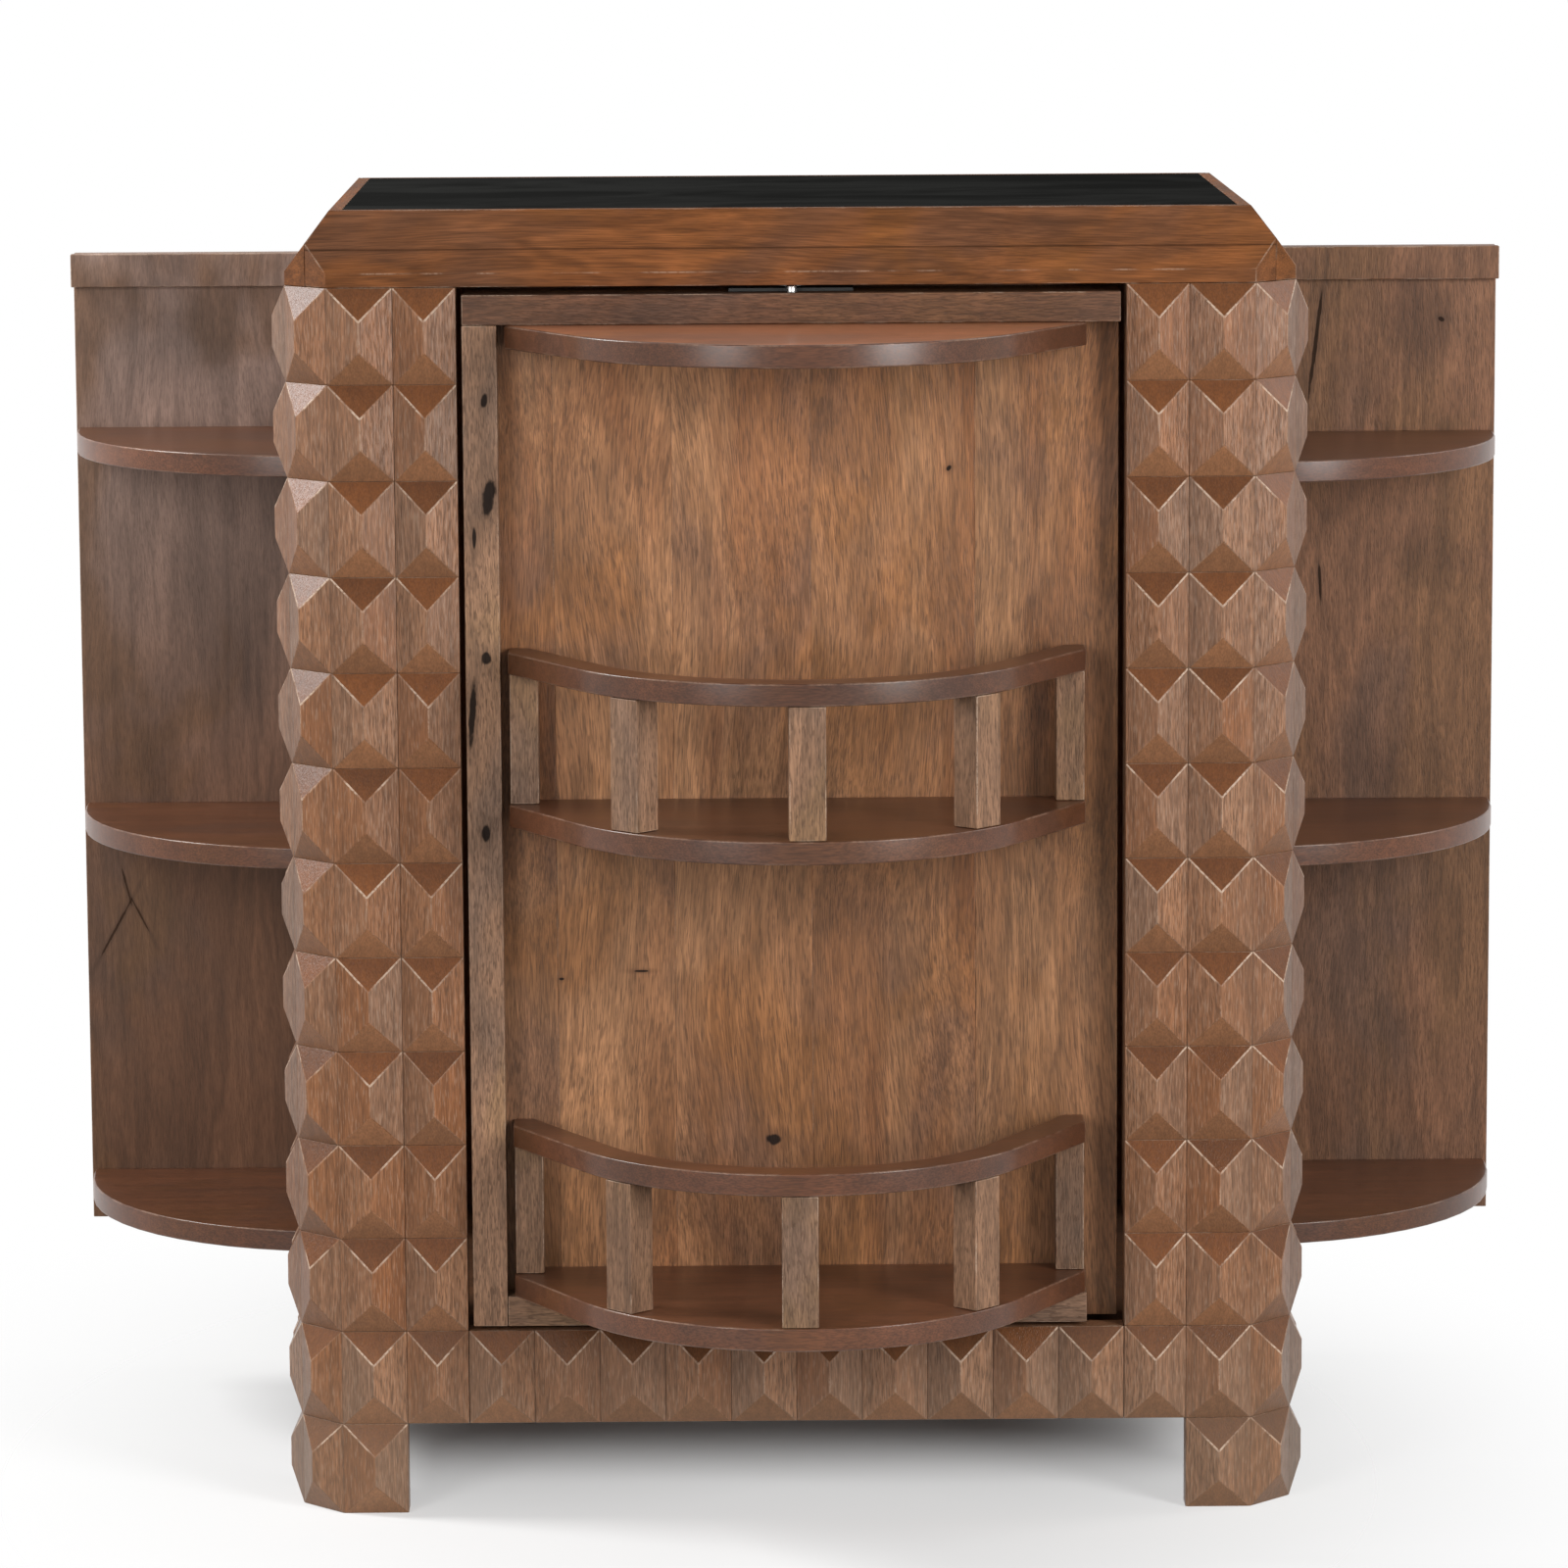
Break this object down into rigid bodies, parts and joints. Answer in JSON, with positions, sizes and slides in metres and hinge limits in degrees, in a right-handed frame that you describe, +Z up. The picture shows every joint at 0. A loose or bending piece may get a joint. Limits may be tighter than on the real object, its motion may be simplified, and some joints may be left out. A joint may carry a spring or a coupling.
{
  "type": "bar cabinet",
  "caption": "Wooden bar cabinet with carved pyramid tiles on chamfered posts, a revolving bow-fronted shelf unit and side wings with rounded shelves that pivot open.",
  "frame": {"origin": "on the floor, below the centre of the whole bounding box with the wings open", "axes": "+X to the right seen from the front, +Y towards the back, +Z up; the opening faces -Y"},
  "size_m": [1.2352, 0.7412, 1.067],
  "materials": {
    "carved_wood": "warm brown carved wood, satin",
    "panel_wood": "edge-glued planks, satin",
    "shelf_wood": "smooth chocolate brown, satin",
    "raw_wood": "greyish brown, open grain",
    "wing_wood": "dark greyish brown, open grain",
    "black_inset": "glossy black sheet",
    "pivot_steel": "bright turned steel",
    "dark_steel": "blackened steel"
  },
  "bodies": {
    "carcass": {"back_panel": "panel_wood", "floor_board": "panel_wood", "front_bottom_rail": "carved_wood", "front_left_leg": "carved_wood", "front_left_stile": "carved_wood", "front_right_leg": "carved_wood", "front_right_stile": "carved_wood", "left_bottom_rail": "carved_wood", "lower_pivot_bush": "dark_steel", "rear_bottom_rail": "carved_wood", "rear_left_leg": "carved_wood", "rear_right_leg": "carved_wood", "right_bottom_rail": "carved_wood", "top_board": "panel_wood", "top_front_rail": "carved_wood", "top_inset": "black_inset", "top_left_rail": "carved_wood", "top_rear_rail": "carved_wood", "top_right_rail": "carved_wood", "upper_pivot_bush": "dark_steel"},
    "revolving_unit": {"bottom_baluster_centre": "raw_wood", "bottom_baluster_left": "raw_wood", "bottom_baluster_left_end": "raw_wood", "bottom_baluster_right": "raw_wood", "bottom_baluster_right_end": "raw_wood", "bottom_gallery_rail": "shelf_wood", "bottom_shelf": "shelf_wood", "canopy_shelf": "shelf_wood", "lower_pivot_pin": "pivot_steel", "lower_pivot_plate": "dark_steel", "middle_baluster_centre": "raw_wood", "middle_baluster_left": "raw_wood", "middle_baluster_left_end": "raw_wood", "middle_baluster_right": "raw_wood", "middle_baluster_right_end": "raw_wood", "middle_gallery_rail": "shelf_wood", "middle_shelf": "shelf_wood", "revolving_board": "panel_wood", "revolving_bottom_rail": "raw_wood", "revolving_carved_face": "carved_wood", "revolving_stile": "raw_wood", "revolving_top_rail": "raw_wood", "upper_pivot_pin": "pivot_steel", "upper_pivot_plate": "dark_steel"},
    "left_wing": {"left_wing_bottom_shelf": "shelf_wood", "left_wing_middle_shelf": "shelf_wood", "left_wing_panel": "wing_wood", "left_wing_pivot_rod": "pivot_steel", "left_wing_pivot_stile": "wing_wood", "left_wing_top_rail": "wing_wood", "left_wing_top_shelf": "shelf_wood"},
    "right_wing": {"right_wing_bottom_shelf": "shelf_wood", "right_wing_middle_shelf": "shelf_wood", "right_wing_panel": "wing_wood", "right_wing_pivot_rod": "pivot_steel", "right_wing_pivot_stile": "wing_wood", "right_wing_top_rail": "wing_wood", "right_wing_top_shelf": "shelf_wood"}
  },
  "joints": [
    {"name": "unit_turn", "type": "hinge", "parent": "carcass", "child": "revolving_unit", "pos_m": [0, -0.13128, 0.5], "axis": [0, 0, 1], "continuous": true},
    {"name": "left_wing_pivot", "type": "hinge", "parent": "carcass", "child": "left_wing", "pos_m": [-0.3579, 0.23412, 0.5], "axis": [0, 0, 1], "range_deg": [0, 90]},
    {"name": "right_wing_pivot", "type": "hinge", "parent": "carcass", "child": "right_wing", "pos_m": [0.3579, 0.23412, 0.5], "axis": [0, 0, -1], "range_deg": [0, 90]}
  ]
}
